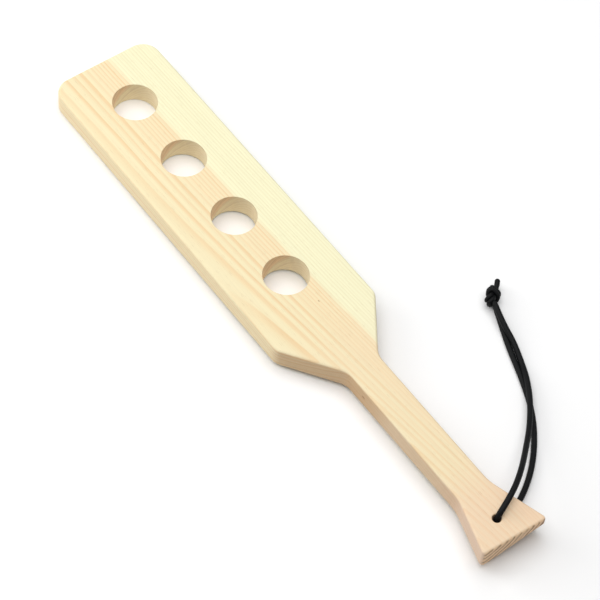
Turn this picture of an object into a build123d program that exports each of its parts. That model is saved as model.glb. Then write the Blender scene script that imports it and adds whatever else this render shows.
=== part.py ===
"""One-piece pine pickleball practice paddle with a drilled blade and a wrist lanyard.

Millimetres. +X runs along the paddle from the butt of the handle to the tip of the blade,
+Z is up, and the origin is on the table under the middle of the board. The board lies on
the bottom edge of its tip and on the lanyard, which passes under the butt, so it is tilted
by about half a degree.
"""

import os
from math import asin, cos, pi, radians, sin, tan

from build123d import *

os.makedirs("parts", exist_ok=True)

# Board
paddle_length = 500.0
blade_width = 90.0
board_thickness = 18.0
handle_width = 27.5
butt_width = 55.2
butt_offset = -1.1  # the flare reaches further out on the -Y side
butt_skew = 3.0  # the end is cut out of square, so the -Y corner stands this far out
undercut_height = 12.5  # at the -Y corner; the undercut runs out at the +Y corner
undercut_depth = 4.5
flare_length = 43.0  # from the butt to where the flare meets the straight handle
handle_end = 167.5  # where the shoulders start to spread
blade_start = 211.0  # where the blade reaches its full width
butt_corner_radius = 2.5
flare_root_radius = 40.0
handle_root_radius = 16.0
shoulder_radius = 10.0
blade_corner_radius = 14.5
long_edge_radius = 2.0  # the round-over that runs all the way round both faces

# Holes through the board
blade_hole_diameter = 35.0
blade_hole_count = 4
blade_hole_pitch = 64.3
last_hole_from_butt = 452.4
lanyard_hole_diameter = 6.5
lanyard_hole_from_butt = 16.8
lanyard_hole_offset = 1.0
lanyard_hole_rim_radius = 1.0

# Lanyard cord
cord_diameter = 4.4
cord_in_hole = (-233.1, 1.0)
mid_hole_height = 13.7
run_used_by_arc = 0.45

# How the board lies: its tip on the table, its butt on the cord
butt_lift = 4.85
tilt = asin(butt_lift / (paddle_length - long_edge_radius))
board_plane = Plane(
    origin=(-paddle_length / 2, 0, butt_lift),
    x_dir=(cos(tilt), 0, -sin(tilt)),
    z_dir=(sin(tilt), 0, cos(tilt)),
)
board_normal = Axis(board_plane.origin, board_plane.z_dir)

# Paddle board: one piece of pine ------------------------------------------------------

half_outline = [
    (0, butt_width / 2, butt_corner_radius),
    (flare_length, handle_width / 2, flare_root_radius),
    (handle_end, handle_width / 2, handle_root_radius),
    (blade_start, blade_width / 2, shoulder_radius),
    (paddle_length, blade_width / 2, blade_corner_radius),
]
straight_parts = [(x, y) for x, y, radius in half_outline[1:]]
near_corner = (0, butt_offset + butt_width / 2)
far_corner = (-butt_skew, butt_offset - butt_width / 2)
one_side = [near_corner, *straight_parts]
other_side = [(x, -y) for x, y in reversed(straight_parts)] + [far_corner]
corner_places = [(x, radius) for x, y, radius in half_outline]
corner_places.append((-butt_skew, butt_corner_radius))
blade_holes = [
    (last_hole_from_butt - i * blade_hole_pitch, 0) for i in range(blade_hole_count)
]
same_place = 0.5

with BuildPart() as paddle_board:
    with BuildSketch(board_plane) as outline:
        with BuildLine():
            Polyline(*one_side, *other_side, close=True)
        make_face()
        for x, radius in corner_places:
            corners = outline.vertices().filter_by_position(
                Axis.X, x - same_place, x + same_place
            )
            fillet(corners, radius=radius)
    extrude(amount=board_thickness)
    faces_up_and_down = paddle_board.faces().filter_by(board_normal)
    fillet(faces_up_and_down.edges(), radius=long_edge_radius)

    undercut_start = board_plane.from_local_coords(Vector(*near_corner, 0))
    undercut_top = board_plane.from_local_coords(Vector(*far_corner, undercut_height))
    undercut_back = board_plane.from_local_coords(
        Vector(far_corner[0] + undercut_depth, far_corner[1], 0)
    )
    into_board = (undercut_top - undercut_start).cross(undercut_back - undercut_start)
    split(bisect_by=Plane(origin=undercut_start, z_dir=into_board), keep=Keep.TOP)

    with BuildSketch(board_plane):
        with Locations(*blade_holes):
            Circle(blade_hole_diameter / 2)
    extrude(amount=board_thickness, mode=Mode.SUBTRACT)

    with BuildSketch(board_plane):
        with Locations((lanyard_hole_from_butt, lanyard_hole_offset)):
            Circle(lanyard_hole_diameter / 2)
    extrude(amount=board_thickness, mode=Mode.SUBTRACT)
    lanyard_rims = paddle_board.edges().filter_by(
        lambda edge: edge.geom_type == GeomType.CIRCLE
        and abs(edge.radius - lanyard_hole_diameter / 2) < 0.01
    )
    fillet(lanyard_rims, radius=lanyard_hole_rim_radius)

# Lanyard: one cord, passed through the hole and tied in a loop --------------------------
# Each half runs from the middle of the hole to the knot. The lower half turns out under
# the board and lies on the table. The upper half arches over the edge of the board,
# crosses on top of the lower one, comes down beside it, and rises onto it at the knot.

on_table = cord_diameter / 2
lower_route = [
    (*cord_in_hole, mid_hole_height),
    (*cord_in_hole, on_table),
    (-231.4, -8.6, on_table),
    (-227.2, -26.4, on_table),
    (-214.7, -47.9, on_table),
    (-197.9, -66.5, on_table),
    (-176.2, -83.2, on_table),
    (-151.0, -95.2, on_table),
    (-123.6, -105.2, on_table),
    (-106.4, -112.6, on_table),
    (-91.6, -118.6, 4.0),
]
upper_route = [
    (*cord_in_hole, mid_hole_height),
    (*cord_in_hole, 24.4),
    (-229.9, -8.2, 27.9),
    (-223.8, -21.8, 30.0),
    (-213.2, -37.6, 24.8),
    (-199.8, -54.4, 15.8),
    (-185.6, -71.2, 9.2),
    (-169.0, -86.4, 7.3),
    (-153.0, -97.8, 6.2),
    (-138.0, -105.6, on_table),
    (-121.8, -113.1, on_table),
    (-107.4, -114.2, 7.9),
    (-91.6, -118.6, 8.7),
]


def corner_radii(route):
    """The arc at each corner, as large as its two runs allow."""
    radii = []
    for before, corner, after in zip(route, route[1:], route[2:]):
        run_in = Vector(corner) - Vector(before)
        run_out = Vector(after) - Vector(corner)
        half_turn = radians(run_in.get_angle(run_out)) / 2
        shorter = min(run_in.length, run_out.length)
        radii.append(run_used_by_arc * shorter / tan(half_turn))
    return radii


def report(name, strand, path, radii):
    """Print the arcs, and the volume against section times length."""
    ideal = pi * cord_diameter**2 / 4 * path.length
    print(name, "arc radii", [round(radius, 1) for radius in radii])
    print(name, "length", round(path.length, 1), "volume / ideal", strand.volume / ideal)


lower_radii = corner_radii(lower_route)
with BuildPart() as lanyard_lower_strand:
    with BuildLine():
        lower_path = FilletPolyline(*lower_route, radius=lower_radii)
    with BuildSketch(Plane(origin=lower_path @ 0, z_dir=lower_path % 0)):
        Circle(cord_diameter / 2)
    sweep(path=lower_path)
report("lower strand", lanyard_lower_strand.part, lower_path, lower_radii)

upper_radii = corner_radii(upper_route)
with BuildPart() as lanyard_upper_strand:
    with BuildLine():
        upper_path = FilletPolyline(*upper_route, radius=upper_radii)
    with BuildSketch(Plane(origin=upper_path @ 0, z_dir=upper_path % 0)):
        Circle(cord_diameter / 2)
    sweep(path=upper_path)
report("upper strand", lanyard_upper_strand.part, upper_path, upper_radii)

# Knot: the outer shape of an overhand knot tied in both ends at once --------------------

knot_length = 17.0
knot_belly_radius = 6.3
knot_end_radius = 5.0
knot_start = Vector(-90.7, -115.9, knot_belly_radius)
knot_heading = radians(-40)
knot_direction = Vector(cos(knot_heading), sin(knot_heading), 0)
knot_plane = Plane(origin=knot_start, x_dir=knot_direction, z_dir=(0, 0, 1))

with BuildPart() as lanyard_knot:
    with BuildSketch(knot_plane):
        with BuildLine():
            end_cap = Line((0, 0), (0, knot_end_radius))
            belly = ThreePointArc(
                end_cap @ 1,
                (knot_length / 2, knot_belly_radius),
                (knot_length, knot_end_radius),
            )
            Polyline(belly @ 1, (knot_length, 0), end_cap @ 0)
        make_face()
    revolve(axis=Axis(knot_start, knot_direction))

# Tails: the two melted ends of the cord, one above the other past the knot --------------
# They leave the knot on the same side as the strands come in.

tail_in_knot = 1.0
tail_offset = 3.0
upper_tail_length = 7.5
lower_tail_length = 5.5
melted_end_radius = 1.6
upper_tail_height = 7.1
lower_tail_height = 2.4
knot_side = Vector(sin(knot_heading), -cos(knot_heading), 0)
tail_root = knot_start + knot_direction * (knot_length - tail_in_knot) + knot_side * tail_offset

with BuildPart() as lanyard_tails:
    for height, length in (
        (upper_tail_height, upper_tail_length),
        (lower_tail_height, lower_tail_length),
    ):
        tail_start = (tail_root.X, tail_root.Y, height)
        with BuildSketch(Plane(origin=tail_start, z_dir=knot_direction)):
            Circle(cord_diameter / 2)
        extrude(amount=length + tail_in_knot)
    knot_axis = Axis(knot_start, knot_direction)
    melted_ends = lanyard_tails.faces().filter_by(knot_axis).sort_by(knot_axis)[-2:]
    fillet(melted_ends.edges(), radius=melted_end_radius)

# Write each piece ------------------------------------------------------------------------

pieces = {
    "paddle_board": paddle_board.part,
    "lanyard_lower_strand": lanyard_lower_strand.part,
    "lanyard_upper_strand": lanyard_upper_strand.part,
    "lanyard_knot": lanyard_knot.part,
    "lanyard_tails": lanyard_tails.part,
}
for name, piece in pieces.items():
    piece.label = name
    export_step(piece, f"parts/{name}.step")
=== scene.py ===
import math

import bpy
import numpy as np
from mathutils import Matrix, Vector


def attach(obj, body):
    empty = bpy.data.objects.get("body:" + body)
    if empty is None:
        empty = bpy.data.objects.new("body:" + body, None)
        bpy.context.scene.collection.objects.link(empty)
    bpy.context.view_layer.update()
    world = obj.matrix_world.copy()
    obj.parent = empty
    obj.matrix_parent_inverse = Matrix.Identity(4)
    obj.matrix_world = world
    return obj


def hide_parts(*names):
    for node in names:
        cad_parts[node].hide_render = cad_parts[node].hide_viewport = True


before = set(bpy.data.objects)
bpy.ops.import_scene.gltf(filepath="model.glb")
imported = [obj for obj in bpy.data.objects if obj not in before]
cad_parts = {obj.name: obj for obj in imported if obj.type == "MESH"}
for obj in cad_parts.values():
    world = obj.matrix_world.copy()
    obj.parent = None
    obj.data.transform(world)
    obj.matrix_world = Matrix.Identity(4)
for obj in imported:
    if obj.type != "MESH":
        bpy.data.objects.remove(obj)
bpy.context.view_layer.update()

scene = bpy.context.scene
MM = 0.001

# ---------------------------------------------------------------- camera

CAMERA_TARGET = Vector((-0.00354, -0.00475, 0.0))
CAMERA_DISTANCE = 1.66946
CAMERA_AZIMUTH = math.radians(136.468)
CAMERA_ELEVATION = math.radians(56.085)
CAMERA_ROLL = math.radians(8.022)
LENS_MM = 136.75
SENSOR_MM = 36.0


def make_camera():
    """Stand the camera at the viewing angle, rolled a little about its line of sight."""
    back = Vector((
        math.cos(CAMERA_ELEVATION) * math.cos(CAMERA_AZIMUTH),
        math.cos(CAMERA_ELEVATION) * math.sin(CAMERA_AZIMUTH),
        math.sin(CAMERA_ELEVATION),
    ))
    right = Vector((0.0, 0.0, 1.0)).cross(back).normalized()
    up = back.cross(right)
    turned_right = right * math.cos(CAMERA_ROLL) + up * math.sin(CAMERA_ROLL)
    turned_up = up * math.cos(CAMERA_ROLL) - right * math.sin(CAMERA_ROLL)
    data = bpy.data.cameras.new("view")
    data.sensor_width = SENSOR_MM
    data.lens = LENS_MM
    camera = bpy.data.objects.new("view", data)
    scene.collection.objects.link(camera)
    axes = Matrix((turned_right, turned_up, back)).transposed().to_4x4()
    place = Matrix.Translation(CAMERA_TARGET + back * CAMERA_DISTANCE)
    camera.matrix_world = place @ axes
    scene.camera = camera


make_camera()

# ---------------------------------------------------------------- shader helpers


class Shader:
    """One material and the calls that add its nodes."""

    def __init__(self, name):
        self.material = bpy.data.materials.new(name)
        self.material.use_nodes = True
        self.tree = self.material.node_tree
        self.tree.nodes.clear()

    def add(self, kind, inputs, **settings):
        node = self.tree.nodes.new(kind)
        for name, value in settings.items():
            setattr(node, name, value)
        for key, value in inputs.items():
            if isinstance(value, bpy.types.NodeSocket):
                self.tree.links.new(value, node.inputs[key])
            else:
                node.inputs[key].default_value = value
        return node

    def math(self, operation, *values):
        inputs = dict(enumerate(values))
        return self.add("ShaderNodeMath", inputs, operation=operation).outputs[0]

    def smooth(self, value, start, end):
        """0 before start, 1 after end and an even S between them; start may be above end."""
        low, high = min(start, end), max(start, end)
        levels = (0.0, 1.0) if start < end else (1.0, 0.0)
        inputs = {0: value, 1: low, 2: high, 3: levels[0], 4: levels[1]}
        node = self.add("ShaderNodeMapRange", inputs, interpolation_type="SMOOTHSTEP")
        return node.outputs[0]

    def mix(self, factor, first, second, blend="MIX"):
        inputs = {0: factor, 6: first, 7: second}
        node = self.add("ShaderNodeMix", inputs, data_type="RGBA", blend_type=blend)
        return node.outputs[2]

    def tint(self, factor, colour, tint):
        """The colour, multiplied by the tint as far as the factor says."""
        return self.mix(factor, colour, self.mix(1.0, colour, tint, "MULTIPLY"))

    def chance(self, count):
        """A random level from 0 to 1, the same for all of one whole step of the count."""
        whole = self.math("FLOOR", count)
        return self.add("ShaderNodeTexWhiteNoise", {"W": whole}, noise_dimensions="1D").outputs[0]

    def split(self, vector):
        return self.add("ShaderNodeSeparateXYZ", {0: vector}).outputs

    def join(self, x, y, z):
        return self.add("ShaderNodeCombineXYZ", {0: x, 1: y, 2: z}).outputs[0]

    def noise(self, vector, scale=1.0, detail=2.0, roughness=0.5):
        inputs = {"Vector": vector, "Scale": scale, "Detail": detail, "Roughness": roughness}
        return self.add("ShaderNodeTexNoise", inputs).outputs[0]

    def stretched(self, xyz, x_size, y_size, z_size, detail=2.0):
        """Noise whose lumps have these sizes along the three axes."""
        x, y, z = xyz
        vector = self.join(
            self.math("DIVIDE", x, x_size),
            self.math("DIVIDE", y, y_size),
            self.math("DIVIDE", z, z_size),
        )
        return self.noise(vector, detail=detail)

    def finish(self, **inputs):
        named = {key.replace("_", " "): value for key, value in inputs.items()}
        surface = self.add("ShaderNodeBsdfPrincipled", named)
        output = self.add("ShaderNodeOutputMaterial", {})
        self.tree.links.new(surface.outputs[0], output.inputs[0])
        return self.material


# ---------------------------------------------------------------- pine
# Lengths are millimetres in the board's own frame: x runs from the butt to the tip, y runs
# across from the middle, and z is the height over the underside.

BUTT_X = -250.0  # in the row frame
BUTT_LIFT = 4.85
TIP_REST = 498.0
BOARD_TILT = math.asin(BUTT_LIFT / TIP_REST)
BOARD_ORIGIN = Vector((BUTT_X, 0.0, BUTT_LIFT))
BOARD_THICKNESS = 18.0

# The pith runs a little askew over the board, and comes nearer towards the handle.
PITH_SIDE = 40.0
PITH_SLEW = 0.022
PITH_HEIGHT = 50.0
PITH_DROP = 12.0
PITH_DROP_RUN = 300.0
PITH_LEVEL_FROM = 400.0

RING_WIDTH = 3.1
END_RING_WIDTH = 4.6
SLOW_GROWTH_FROM = 65.0
SLOW_GROWTH = 0.17
UNEVEN_OVER = 8.0
FINE_LINE_WIDTH = 0.9
FINE_LINE_LENGTH = 300.0
HEART_EDGE = (78.5, 74.5)
BLUSH_RUN = (58.0, 66.0)
UNDER_PITH = (3.0, 17.0)

# The sizes of the noise's lumps along the three axes.
WANDER_LUMPS = (160.0, 40.0, 40.0)
RIPPLE_LUMPS = (34.0, 7.0, 7.0)
FIBRE_LUMPS = (22.0, 0.32, 0.32)
STREAK_LUMPS = (90.0, 2.4, 2.4)
CANAL_LUMPS = (7.0, 0.30, 0.30)

# How far the noise moves the rings, the end grain's bands and the edge of the heart.
RING_WANDER = 1.4
RING_RIPPLE = 0.35
END_RIPPLE = 2.5
HEART_RIPPLE = 3.0

# Where one stretch of the board turns into the next along x, and the holes' half width.
ONTO_HANDLE = (225.0, 170.0)
ONTO_BUTT = (75.0, 25.0)
ONTO_BUTT_END = (60.0, 20.0)
HOLES_START = (225.0, 235.0)
HOLES_END = (485.0, 475.0)
HOLES_HALF_WIDTH = (20.0, 18.5)

# How much a surface faces up before it counts as a side, and along x before it is an end.
ONTO_SIDE = (0.85, 0.30)
ONTO_END = (0.40, 0.95)

EARLY_SAP, EARLY_HEART = (0.81, 0.78, 0.53, 1), (0.79, 0.695, 0.45, 1)
LATE_SAP, LATE_HEART = (0.755, 0.695, 0.445, 1), (0.755, 0.55, 0.305, 1)
RESIN_BROWN = (0.42, 0.24, 0.10, 1)
PIN_BROWN = (0.26, 0.11, 0.04, 1)
BLUSH_TINT = (1.01, 0.975, 0.975, 1)
HANDLE_TINT = (1.0, 0.97, 0.985, 1)
BUTT_TINT = (1.0, 0.91, 0.96, 1)
DRILLED_TINT = (1.04, 0.97, 0.98, 1)
BLADE_EDGE_TINT = (1.0, 0.99, 0.99, 1)
# Tints for the sides along x: browner sawn wood, and on the handle also painted shade from the
# shoulder, darkest from x 162 to 174.
SIDE_TINTS_AND_PAINTED_SHADE = (
    ((220.0, 205.0), (0.80, 0.70, 0.66, 1)),
    ((174.0, 162.0), (0.73, 0.60, 0.52, 1)),
    ((150.0, 112.0), (0.84, 0.76, 0.77, 1)),
    ((50.0, 30.0), (0.90, 0.88, 0.95, 1)),
)
TIP_END_TINTS = ((1.0, 0.97, 0.88, 1), (0.68, 0.57, 0.44, 1))
BUTT_END_TINTS = ((1.08, 1.01, 0.85, 1), (0.32, 0.25, 0.18, 1))

# Each pin knot's place, half length and half width.
PIN_KNOTS = (
    ((228.0, -6.0, 18.0), 1.2, 0.6),
    ((148.5, 13.75, 10.0), 2.4, 1.6),
)


def board_frame(s):
    """Where a point is in the board's own frame, and the way its surface faces."""
    turn = Matrix.Rotation(-BOARD_TILT, 3, "Y")
    coords = s.add("ShaderNodeTexCoord", {})
    board = s.add(
        "ShaderNodeMapping",
        {
            "Vector": coords.outputs["Object"],
            "Location": -(turn @ BOARD_ORIGIN),
            "Rotation": (0.0, -BOARD_TILT, 0.0),
            "Scale": (1.0 / MM, 1.0 / MM, 1.0 / MM),
        },
    ).outputs[0]
    return s.split(board), s.split(coords.outputs["Normal"])


def distance_from_pith(s, xyz, ripple):
    """The distance from the pith across the board, and in all with the rings' wander in it."""
    x, y, z = xyz
    pith_y = s.math("MULTIPLY_ADD", x, PITH_SLEW, PITH_SIDE)
    short = s.math("MAXIMUM", s.math("SUBTRACT", PITH_LEVEL_FROM, x), 0.0)
    drop = s.math("POWER", s.math("DIVIDE", short, PITH_DROP_RUN), 2.0)
    pith_z = s.math("MULTIPLY_ADD", drop, -PITH_DROP, BOARD_THICKNESS + PITH_HEIGHT)
    across = s.math("SUBTRACT", y, pith_y)
    above = s.math("SUBTRACT", z, pith_z)
    distance = s.math(
        "SQRT",
        s.math("ADD", s.math("MULTIPLY", across, across), s.math("MULTIPLY", above, above)),
    )
    wander = s.math("SUBTRACT", s.stretched(xyz, *WANDER_LUMPS, detail=1.0), 0.5)
    radius = s.math("MULTIPLY_ADD", wander, RING_WANDER, distance)
    return across, s.math("MULTIPLY_ADD", ripple, RING_RIPPLE, radius)


def ring_bands(s, count, rise, fall, least):
    """A dark band late in each ring, some as pale as least and none over 1."""
    phase = s.math("FRACT", count)
    band = s.math("MULTIPLY", s.smooth(phase, *rise), s.smooth(phase, 1.0, fall))
    return s.math("MULTIPLY", band, s.math("MULTIPLY_ADD", s.chance(count), 1.0 - least, least))


def late_wood(s, x, radius):
    """How far a point is into the dark late wood, with fine lines between the rings."""
    uneven = s.noise(s.join(s.math("DIVIDE", radius, UNEVEN_OVER), 0.0, 0.0), detail=1.0)
    slow_growth = s.math("MAXIMUM", s.math("SUBTRACT", radius, SLOW_GROWTH_FROM), 0.0)
    count = s.math("ADD", s.math("DIVIDE", radius, RING_WIDTH), uneven)
    count = s.math("MULTIPLY_ADD", slow_growth, SLOW_GROWTH, count)
    bands = ring_bands(s, count, rise=(0.30, 0.86), fall=0.88, least=0.45)
    fine_across = s.math("DIVIDE", radius, FINE_LINE_WIDTH)
    fine_along = s.math("DIVIDE", x, FINE_LINE_LENGTH)
    fine = s.noise(s.join(fine_across, fine_along, 0.0))
    return s.math("ADD", bands, s.math("MULTIPLY", s.smooth(fine, 0.45, 0.75), 0.26))


def fade_under_pith(s, late, across, facing):
    """Right under the pith the rings lie flat and hardly show on the faces of the board."""
    off_pith = s.smooth(s.math("ABSOLUTE", across), *UNDER_PITH)
    faded = s.math("MULTIPLY", facing, s.math("SUBTRACT", 1.0, off_pith))
    return s.math("MULTIPLY", late, s.math("MULTIPLY_ADD", faded, -0.75, 1.0))


def ring_colour(s, x, late, radius, ripple):
    """Early and late wood: heart inside, sap outside, calmer on the handle and the butt."""
    on_handle = s.smooth(x, *ONTO_HANDLE)
    near_butt = s.smooth(x, *ONTO_BUTT)
    heart = s.smooth(s.math("MULTIPLY_ADD", ripple, HEART_RIPPLE, radius), *HEART_EDGE)
    blush = s.math("MULTIPLY", s.smooth(radius, *BLUSH_RUN), heart)
    early_colour = s.tint(blush, s.mix(heart, EARLY_SAP, EARLY_HEART), BLUSH_TINT)
    early_colour = s.tint(on_handle, early_colour, HANDLE_TINT)
    late_colour = s.mix(heart, LATE_SAP, LATE_HEART)
    calm = s.math("ADD", s.math("MULTIPLY", on_handle, 0.32), s.math("MULTIPLY", near_butt, 0.2))
    shown = s.math("MULTIPLY", late, s.math("SUBTRACT", 1.0, calm))
    return s.tint(near_butt, s.mix(shown, early_colour, late_colour), BUTT_TINT)


def fibre_colour(s, xyz, fibre, colour):
    """Fibres, long streaks and resin canals over the rings."""
    streak = s.stretched(xyz, *STREAK_LUMPS)
    grey = s.math("MULTIPLY_ADD", fibre, 0.12, 0.94)
    grey = s.math("MULTIPLY", grey, s.math("MULTIPLY_ADD", streak, 0.08, 0.96))
    colour = s.mix(1.0, colour, s.join(grey, grey, grey), "MULTIPLY")
    canals = s.smooth(s.stretched(xyz, *CANAL_LUMPS, detail=0.0), 0.74, 0.80)
    return s.mix(s.math("MULTIPLY", canals, 0.35), colour, RESIN_BROWN)


def end_grain_tint(s, x, radius, ripple):
    """Banded by the rings, and more strongly on the butt than on the tip."""
    count = s.math("DIVIDE", s.math("MULTIPLY_ADD", ripple, END_RIPPLE, radius), END_RING_WIDTH)
    bands = ring_bands(s, count, rise=(0.35, 0.75), fall=0.85, least=0.3)
    tip_tint = s.mix(bands, *TIP_END_TINTS)
    butt_tint = s.mix(bands, *BUTT_END_TINTS)
    return s.mix(s.smooth(x, *ONTO_BUTT_END), tip_tint, butt_tint)


def cut_colour(s, xyz, normal, facing, end_tint, colour):
    """Sawn edges are browner, cut fibre ends most of all, and the drilled holes less. The
    handle's sides also get painted shade, darkest by the shoulder.
    """
    x, y = xyz[0], xyz[1]
    upright = s.smooth(facing, *ONTO_SIDE)
    # The sides darken along x: partly browner sawn wood, partly painted shade on the handle by
    # the shoulder.
    side_tint_and_shade = BLADE_EDGE_TINT
    for run, tint in SIDE_TINTS_AND_PAINTED_SHADE:
        side_tint_and_shade = s.mix(s.smooth(x, *run), side_tint_and_shade, tint)
    colour = s.tint(upright, colour, side_tint_and_shade)
    drilled = s.math(
        "MULTIPLY",
        s.smooth(s.math("ABSOLUTE", y), *HOLES_HALF_WIDTH),
        s.math("MULTIPLY", s.smooth(x, *HOLES_START), s.smooth(x, *HOLES_END)),
    )
    colour = s.tint(s.math("MULTIPLY", drilled, upright), colour, DRILLED_TINT)
    cut = s.smooth(s.math("ABSOLUTE", normal[0]), *ONTO_END)
    cut = s.math("MULTIPLY", cut, s.math("MULTIPLY_ADD", drilled, -0.70, 1.0))
    return s.tint(cut, colour, end_tint)


def pin_knot_colour(s, xyz, colour):
    """A small dark spot, longer along the fibres than across, at each pin knot."""
    for place, half_length, half_width in PIN_KNOTS:
        halves = (half_length, half_width, half_width)
        away = s.join(*(
            s.math("DIVIDE", s.math("SUBTRACT", value, middle), half)
            for value, middle, half in zip(xyz, place, halves)
        ))
        size = s.add("ShaderNodeVectorMath", {0: away}, operation="LENGTH").outputs["Value"]
        pin = s.math("MULTIPLY", s.smooth(size, 1.0, 0.3), 0.65)
        colour = s.mix(pin, colour, PIN_BROWN)
    return colour


def pine_material():
    """Growth rings about a pith above the board, with fibres along its length."""
    s = Shader("pine")
    xyz, normal = board_frame(s)
    x = xyz[0]
    facing = s.math("ABSOLUTE", normal[2])
    ripple = s.math("SUBTRACT", s.stretched(xyz, *RIPPLE_LUMPS), 0.5)
    fibre = s.stretched(xyz, *FIBRE_LUMPS)
    across, radius = distance_from_pith(s, xyz, ripple)
    late = fade_under_pith(s, late_wood(s, x, radius), across, facing)

    colour = ring_colour(s, x, late, radius, ripple)
    colour = fibre_colour(s, xyz, fibre, colour)
    end_tint = end_grain_tint(s, x, radius, ripple)
    colour = cut_colour(s, xyz, normal, facing, end_tint, colour)
    colour = pin_knot_colour(s, xyz, colour)

    height = s.math("ADD", s.math("MULTIPLY", fibre, 0.7), s.math("MULTIPLY", late, 0.5))
    bump = s.add("ShaderNodeBump", {"Strength": 0.5, "Distance": 0.00012, "Height": height})
    return s.finish(
        Base_Color=colour,
        Roughness=s.math("MULTIPLY_ADD", late, -0.10, 0.66),
        Specular_IOR_Level=0.35,
        Normal=bump.outputs[0],
    )


def give(piece, material):
    piece.data.materials.clear()
    piece.data.materials.append(material)


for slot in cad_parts["paddle_board"].material_slots:
    slot.material = pine_material()

# ---------------------------------------------------------------- cord lines

CORD_DIAMETER = 0.0044
LINE_RESOLUTION = 40

# Control points in millimetres: the middle of the lanyard hole first, the knot last.
LOWER_ROUTE = (
    (-233.1, 1.0, 13.7), (-233.1, 1.0, 2.2), (-231.4, -8.6, 2.2), (-227.2, -26.4, 2.2),
    (-214.9, -48.2, 2.2), (-198.2, -66.9, 2.2), (-176.5, -83.7, 2.2), (-151.2, -95.4, 2.2),
    (-123.6, -105.2, 2.2), (-106.4, -112.6, 2.2), (-91.6, -118.6, 4.0),
)
UPPER_ROUTE = (
    (-233.1, 1.0, 13.7), (-233.1, 1.0, 24.4), (-229.9, -8.2, 27.9), (-223.8, -21.8, 30.0),
    (-213.2, -37.6, 24.8), (-199.8, -54.4, 15.8), (-185.6, -71.2, 9.2), (-169.0, -86.4, 7.3),
    (-152.6, -97.3, 6.0), (-137.2, -105.2, 2.6), (-121.3, -110.6, 4.4), (-107.2, -112.4, 7.3),
    (-92.0, -117.4, 8.4),
)


def spline_line(name, route):
    """Points along the smooth line whose control points are the route's, in metres."""
    curve = bpy.data.curves.new(name, "CURVE")
    curve.dimensions = "3D"
    curve.resolution_u = LINE_RESOLUTION
    spline = curve.splines.new("NURBS")
    spline.points.add(len(route) - 1)
    for point, place in zip(spline.points, route):
        point.co = (*(MM * value for value in place), 1.0)
    spline.order_u = 3
    spline.use_endpoint_u = True
    holder = bpy.data.objects.new(name, curve)
    scene.collection.objects.link(holder)
    bpy.context.view_layer.update()
    mesh = bpy.data.meshes.new_from_object(holder)
    points = np.array([vertex.co[:] for vertex in mesh.vertices])
    bpy.data.meshes.remove(mesh)
    bpy.data.objects.remove(holder)
    bpy.data.curves.remove(curve)
    return points


def resample(points, step):
    """The same line with points an even step apart, and the length of it."""
    runs = np.linalg.norm(np.diff(points, axis=0), axis=1)
    along = np.concatenate(([0.0], np.cumsum(runs)))
    count = max(2, round(along[-1] / step)) + 1
    wanted = np.linspace(0.0, along[-1], count)
    line = np.stack([np.interp(wanted, along, points[:, i]) for i in range(3)], axis=1)
    return line, along[-1]


def carried_axes(line):
    """Two directions across the line at each point, carried along it without twisting."""
    tangents = np.gradient(line, axis=0)
    tangents /= np.linalg.norm(tangents, axis=1)[:, None]
    side = np.cross(tangents[0], (0.0, 1.0, 0.3))
    side /= np.linalg.norm(side)
    sides = []
    for tangent in tangents:
        side = side - tangent * np.dot(side, tangent)
        side /= np.linalg.norm(side)
        sides.append(side)
    sides = np.array(sides)
    return sides, np.cross(tangents, sides)


# ---------------------------------------------------------------- braid

BRAID_YARNS = 10
BRAID_PITCH = 0.0150
BRAID_RELIEF = 0.00022
MOST_RELIEF = 0.06  # of the cord's own diameter
BRAID_STEP = 0.00026
YARN_CROWN = 0.9
YARN_WEAVE = 0.7
YARN_SHARPNESS = 1.9
ROUND = 60


def braid_height(turn, along):
    """Height of a two-over, two-under braid: each yarn's crown, raised where it is over."""
    lean = BRAID_YARNS * along / BRAID_PITCH
    first = BRAID_YARNS * turn + lean
    second = BRAID_YARNS * turn - lean
    i, j = np.floor(first), np.floor(second)
    side_first = YARN_SHARPNESS * (first - i - 0.5)
    side_second = YARN_SHARPNESS * (second - j - 0.5)
    crown_first = np.sqrt(np.clip(1.0 - side_first ** 2, 0.0, 1.0))
    crown_second = np.sqrt(np.clip(1.0 - side_second ** 2, 0.0, 1.0))
    over_first = np.sin(0.5 * np.pi * (second + i))
    over_second = -np.sin(0.5 * np.pi * (first + j))
    return np.maximum(
        YARN_CROWN * crown_first + YARN_WEAVE * over_first,
        YARN_CROWN * crown_second + YARN_WEAVE * over_second,
    ) / (YARN_CROWN + YARN_WEAVE)


def braid_rows(points, diameter_at):
    """Rings of braided surface points round the line, and the ring centres."""
    line, length = resample(points, BRAID_STEP)
    sides, ups = carried_axes(line)
    along = np.linspace(0.0, length, len(line))[:, None]
    turn = (np.arange(ROUND) / ROUND)[None, :]
    height = braid_height(turn, along)
    diameter = diameter_at(along)
    relief = np.minimum(BRAID_RELIEF, MOST_RELIEF * diameter)
    radius = 0.5 * diameter - relief * (1.0 - height)
    angle = 2.0 * np.pi * turn
    across = sides[:, None, :] * (radius * np.cos(angle))[:, :, None]
    across += ups[:, None, :] * (radius * np.sin(angle))[:, :, None]
    return line[:, None, :] + across, line


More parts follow.
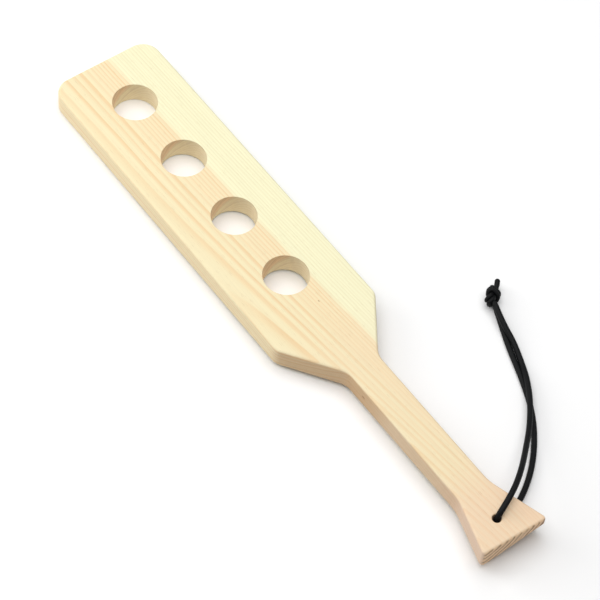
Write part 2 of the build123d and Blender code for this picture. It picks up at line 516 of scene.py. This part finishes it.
def tube_mesh(name, runs):
    """One piece made of closed tubes, each given as its rings and their centres."""
    vertices, faces = [], []
    for rings, centres in runs:
        start = sum(len(block) for block in vertices)
        count = len(rings)
        for row in range(count - 1):
            for column in range(ROUND):
                following = (column + 1) % ROUND
                a = start + row * ROUND + column
                b = start + row * ROUND + following
                faces.append((a, b, b + ROUND, a + ROUND))
        first_centre = start + count * ROUND
        last_row = start + (count - 1) * ROUND
        for column in range(ROUND):
            following = (column + 1) % ROUND
            faces.append((first_centre, start + following, start + column))
            faces.append((first_centre + 1, last_row + column, last_row + following))
        vertices += [rings.reshape(-1, 3), centres[:1], centres[-1:]]
    mesh = bpy.data.meshes.new(name)
    mesh.from_pydata(np.concatenate(vertices).tolist(), [], faces)
    mesh.shade_smooth()
    piece = bpy.data.objects.new(name, mesh)
    scene.collection.objects.link(piece)
    return piece


YARN_BLACKS = ((0.004, 0.0045, 0.005, 1), (0.009, 0.0095, 0.010, 1))


def cord_material():
    """Black nylon braid: faintly uneven yarns, dull and a little fuzzy."""
    s = Shader("black_braid")
    coords = s.add("ShaderNodeTexCoord", {})
    place = coords.outputs["Object"]
    lumps = s.noise(place, scale=900.0, detail=2.0)
    fuzz = s.noise(place, scale=6000.0, detail=2.0)
    colour = s.mix(lumps, *YARN_BLACKS)
    roughness = s.math("MULTIPLY_ADD", fuzz, 0.25, 0.36)
    bump = s.add("ShaderNodeBump", {"Strength": 0.4, "Distance": 0.00004, "Height": fuzz})
    return s.finish(
        Base_Color=colour,
        Roughness=roughness,
        Specular_IOR_Level=0.10,
        Normal=bump.outputs[0],
    )


BLACK_BRAID = cord_material()


def wear_cord(piece, node):
    """Give a piece of the lanyard its material and its body, and hide the CAD node it stands for.
    """
    give(piece, BLACK_BRAID)
    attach(piece, "lanyard")
    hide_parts(node)


def strand_diameter(along):
    return np.full_like(along, CORD_DIAMETER)


def make_strand(name, node, route):
    """One half of the cord, from the lanyard hole to the knot, with its line and length."""
    spline = spline_line(name + "_line", route)
    _, length = resample(spline, BRAID_STEP)
    piece = tube_mesh(name, [braid_rows(spline, strand_diameter)])
    wear_cord(piece, node)
    return piece, spline, length


lower, lower_line, lower_length = make_strand("cord_lower", "lanyard_lower_strand", LOWER_ROUTE)
upper, upper_line, upper_length = make_strand("cord_upper", "lanyard_upper_strand", UPPER_ROUTE)

# ---------------------------------------------------------------- knot
# An overhand knot tied in both cords at once. It is drawn open, in millimetres along Y,
# and pulled tight: the cords shorten, resist sharp bends and push each other apart.

KNOT_CORD = 3.0  # how close two cords come in the knot
OPEN_SIZE = 3.4
OPEN_GAP = 0.12
OPEN_POINTS = 300
OPEN_SMOOTHING = 8
LEAD = 34.0
LEAD_SIDE = -3.0
LEAD_BEND_SIDE = OPEN_SIZE + 5.0
LEAD_BEND = 12.0
LEAD_TURN_SIDE = 3.2
LEAD_TURN = 2.0
POINT_STEP = 1.0

ROUNDS = 56
STEPS = 20
PUSHES = 3
PULL = 0.30
STIFFNESS = 0.35
PUSH = 1.6
WATCHED_GAP = 3.0
NEIGHBOUR_REACH = 1.5 * KNOT_CORD


def open_overhand(offset):
    """The middle line of one cord of the open knot, set off to its own side of the pair."""
    t = np.linspace(OPEN_GAP, 2.0 * np.pi - OPEN_GAP, OPEN_POINTS)
    loops = np.stack(
        (
            (2.0 + np.cos(3.0 * t)) * np.cos(2.0 * t) - 2.0,
            (2.0 + np.cos(3.0 * t)) * np.sin(2.0 * t),
            np.sin(3.0 * t),
        ),
        axis=1,
    ) * OPEN_SIZE
    entry = [
        (LEAD_SIDE, LEAD, 0.0),
        (LEAD_BEND_SIDE, LEAD_BEND, 0.0),
        loops[0] + (LEAD_TURN_SIDE, LEAD_TURN, 0.0),
    ]
    leave = [
        loops[-1] + (LEAD_TURN_SIDE, -LEAD_TURN, 0.0),
        (LEAD_BEND_SIDE, -LEAD_BEND, 0.0),
        (LEAD_SIDE, -LEAD, 0.0),
    ]
    points, _ = resample(np.concatenate((entry, loops, leave)), POINT_STEP)
    for _ in range(OPEN_SMOOTHING):
        points[1:-1] = 0.25 * points[:-2] + 0.5 * points[1:-1] + 0.25 * points[2:]
    tangents = np.gradient(points, axis=0)
    tangents /= np.linalg.norm(tangents, axis=1)[:, None]
    side = np.array((0.0, 0.0, 1.0)) - tangents * tangents[:, 2:]
    side /= np.linalg.norm(side, axis=1)[:, None]
    return points + side * offset


def shorten(points):
    """Pull a line towards straight, and spread its sharp bends."""
    pull = 0.5 * (points[:-2] + points[2:]) - points[1:-1]
    points[1:-1] += PULL * pull
    curve = np.zeros_like(points)
    curve[1:-1] = pull
    change = 0.5 * (curve[1:-3] + curve[3:-1]) - curve[2:-2]
    points[2:-2] -= STIFFNESS * change


def push_apart(points, first, second, fixed):
    """Move pairs of points that are closer than one cord apart, except the fixed ends."""
    gap = points[second] - points[first]
    length = np.linalg.norm(gap, axis=1)
    hit = length < KNOT_CORD
    i, j = first[hit], second[hit]
    share = 0.5 * (KNOT_CORD - length[hit]) / np.maximum(length[hit], 1e-6)
    push = share[:, None] * gap[hit]
    move, hits = np.zeros_like(points), np.zeros(len(points))
    np.add.at(move, i, -push)
    np.add.at(move, j, push)
    np.add.at(hits, i, 1)
    np.add.at(hits, j, 1)
    move[fixed] = 0.0
    points += PUSH * move / np.maximum(1.0, hits)[:, None]


def tie_knot():
    """The two cord lines of the tight knot."""
    one, other = open_overhand(-0.5 * KNOT_CORD), open_overhand(0.5 * KNOT_CORD)
    for _ in range(ROUNDS):
        one, _ = resample(one, POINT_STEP)
        other, _ = resample(other, POINT_STEP)
        count, total = len(one), len(one) + len(other)
        points = np.concatenate((one, other))
        owner = np.arange(total) >= count
        first, second = np.triu_indices(total, 1)
        neighbours = np.ceil(NEIGHBOUR_REACH / POINT_STEP)
        apart = (owner[first] != owner[second]) | (second - first > neighbours)
        first, second = first[apart], second[apart]
        distance = np.linalg.norm(points[second] - points[first], axis=1)
        close = distance < KNOT_CORD + WATCHED_GAP
        first, second = first[close], second[close]
        fixed = [0, count - 1, count, total - 1]
        for _ in range(STEPS):
            shorten(points[:count])
            shorten(points[count:])
            for _ in range(PUSHES):
                push_apart(points, first, second, fixed)
        one, other = points[:count].copy(), points[count:].copy()
    return one, other


# Where the tight knot goes: its middle moves onto this place in the row, in millimetres.
KNOT_CENTRE = (-83.9, -121.2)
KNOT_MIDDLE = np.array((-6.45, 0.0, 0.0))
KNOT_HEADING = math.radians(-40.0)
KNOT_TURN = math.radians(225.0)
KNOT_STRETCH = 1.15
KNOT_SQUEEZE = 0.95


def place_knot(points):
    """From the knot's own millimetres to the row frame, resting height still to be set."""
    side, along, up = (points - KNOT_MIDDLE).T
    across = (side * math.cos(KNOT_TURN) - up * math.sin(KNOT_TURN)) * KNOT_SQUEEZE
    height = (side * math.sin(KNOT_TURN) + up * math.cos(KNOT_TURN)) * KNOT_SQUEEZE
    along = along * KNOT_STRETCH
    x = KNOT_CENTRE[0] + along * math.cos(KNOT_HEADING) - across * math.sin(KNOT_HEADING)
    y = KNOT_CENTRE[1] + along * math.sin(KNOT_HEADING) + across * math.cos(KNOT_HEADING)
    return np.stack((x, y, height), axis=1) * MM


def along_knot(points):
    """How far each point is past the knot's middle, in millimetres."""
    heading = np.array((math.cos(KNOT_HEADING), math.sin(KNOT_HEADING)))
    return (points[:, :2] / MM - KNOT_CENTRE) @ heading


# Distances past the knot's middle, in millimetres, and a count of points.
KNOT_HALF_LENGTH = 8.0
JOIN_AT = -7.6
TAIL_FROM = 7.2
TAIL_LIFT_FROM = 4.0
TAIL_LIFT_RUN = 8.0
LAST_STRETCH = 0.6  # of the cord in the knot, where the tail may lift
HAND_OVER_POINTS = 8.0

# Each tail's length and height, for the upper and the lower strand.
TAILS = ((9.2, 6.8), (6.0, 2.6))

# Metres.
PRESSED_DIAMETER = KNOT_CORD * 1.05 * MM
TAIL_DIAMETER = 0.0042
SQUEEZE_RUN = 0.006
SLACKEN_RUN = 0.004
TIP_RUN = 0.0019
TIP_ROUNDING = 0.985


def cord_through_knot(points, strand_end, tail_length, tail_height):
    """Cut one knot line between the strand it takes over from and the tip of its tail."""
    if along_knot(points)[0] > along_knot(points)[-1]:
        points = points[::-1]
    position = along_knot(points)
    first = np.argmax(position > JOIN_AT)
    last = len(points) - np.argmax(position[::-1] < TAIL_FROM + tail_length)
    points, position = points[first:last].copy(), position[first:last]
    distance = np.arange(len(points))
    ease = np.clip(1.0 - distance / HAND_OVER_POINTS, 0.0, 1.0)
    ease = ease * ease * (3.0 - 2.0 * ease)
    points += (strand_end - points[0]) * ease[:, None]
    lift = np.clip((position - TAIL_LIFT_FROM) / TAIL_LIFT_RUN, 0.0, 1.0)
    lift = lift * (distance > len(points) * LAST_STRETCH)
    points[:, 2] += (tail_height * MM - points[:, 2]) * lift
    return points


def knot_diameter(length, tail):
    """Full at the strand, squeezed in the knot, nearly full and rounded off at the tail."""
    def diameter_at(along):
        entering = np.clip(along / SQUEEZE_RUN, 0.0, 1.0)
        leaving = np.clip((along - (length - tail)) / SLACKEN_RUN, 0.0, 1.0)
        size = CORD_DIAMETER + (PRESSED_DIAMETER - CORD_DIAMETER) * entering
        size = size + (TAIL_DIAMETER - size) * leaving
        to_tip = np.clip((length - along) / TIP_RUN, 0.0, 1.0)
        return size * np.sqrt(1.0 - (1.0 - to_tip) ** 2 * TIP_ROUNDING)

    return diameter_at


def make_knot():
    """The knot and its two tails, resting on the floor at the end of the strands."""
    lines = [place_knot(points) for points in tie_knot()]
    body = np.concatenate(lines)
    body = body[np.abs(along_knot(body)) < KNOT_HALF_LENGTH]
    rest = body[:, 2].min() - 0.5 * KNOT_CORD * MM
    for line in lines:
        line[:, 2] -= rest
    knot_runs, tail_runs = [], []
    for line, strand, (tail, height) in zip(lines, (upper_line, lower_line), TAILS):
        path = cord_through_knot(line, strand[-1], tail, height)
        _, length = resample(path, POINT_STEP * MM)
        rings, centres = braid_rows(path, knot_diameter(length, tail * MM))
        cut = int(len(rings) * (1.0 - tail * MM / length))
        knot_runs.append((rings[: cut + 1], centres[: cut + 1]))
        tail_runs.append((rings[cut:], centres[cut:]))
    knot = tube_mesh("cord_knot", knot_runs)
    tails = tube_mesh("cord_tails", tail_runs)
    wear_cord(knot, "lanyard_knot")
    wear_cord(tails, "lanyard_tails")
    return [knot, tails]


END_PIECES = make_knot()

# ---------------------------------------------------------------- floor and light

FLOOR_HALF = 3.0
FLOOR_WHITE = (0.90, 0.90, 0.90, 1)
WORLD_WHITE = (1.0, 1.0, 1.0, 1.0)
WORLD_STRENGTH = 0.26

# Each soft box's name, place, size and power.
SOFT_BOXES = (
    ("top_box", (0.15, 0.0, 1.5), 1.9, 26.8),
    ("side_box", (1.0, 0.8, 0.65), 0.9, 8.0),
)


def make_floor():
    """A plain white sheet under everything."""
    s = Shader("studio_white")
    material = s.finish(Base_Color=FLOOR_WHITE, Roughness=0.9)
    half = FLOOR_HALF
    mesh = bpy.data.meshes.new("floor")
    corners = [(-half, -half, 0), (half, -half, 0), (half, half, 0), (-half, half, 0)]
    mesh.from_pydata(corners, [], [(0, 1, 2, 3)])
    floor = bpy.data.objects.new("floor", mesh)
    scene.collection.objects.link(floor)
    give(floor, material)


def soft_light(name, place, size, power):
    """A square soft box that faces the origin."""
    data = bpy.data.lights.new(name, "AREA")
    data.shape = "SQUARE"
    data.size = size
    data.energy = power
    light = bpy.data.objects.new(name, data)
    scene.collection.objects.link(light)
    place = Vector(place)
    facing = (-place).to_track_quat("-Z", "Y").to_matrix().to_4x4()
    light.matrix_world = Matrix.Translation(place) @ facing


def make_light():
    """A pale world and the soft boxes."""
    world = bpy.data.worlds.new("studio")
    world.use_nodes = True
    background = world.node_tree.nodes["Background"]
    background.inputs[0].default_value = WORLD_WHITE
    background.inputs[1].default_value = WORLD_STRENGTH
    scene.world = world
    for box in SOFT_BOXES:
        soft_light(*box)


make_floor()
make_light()
scene.view_settings.view_transform = "Standard"
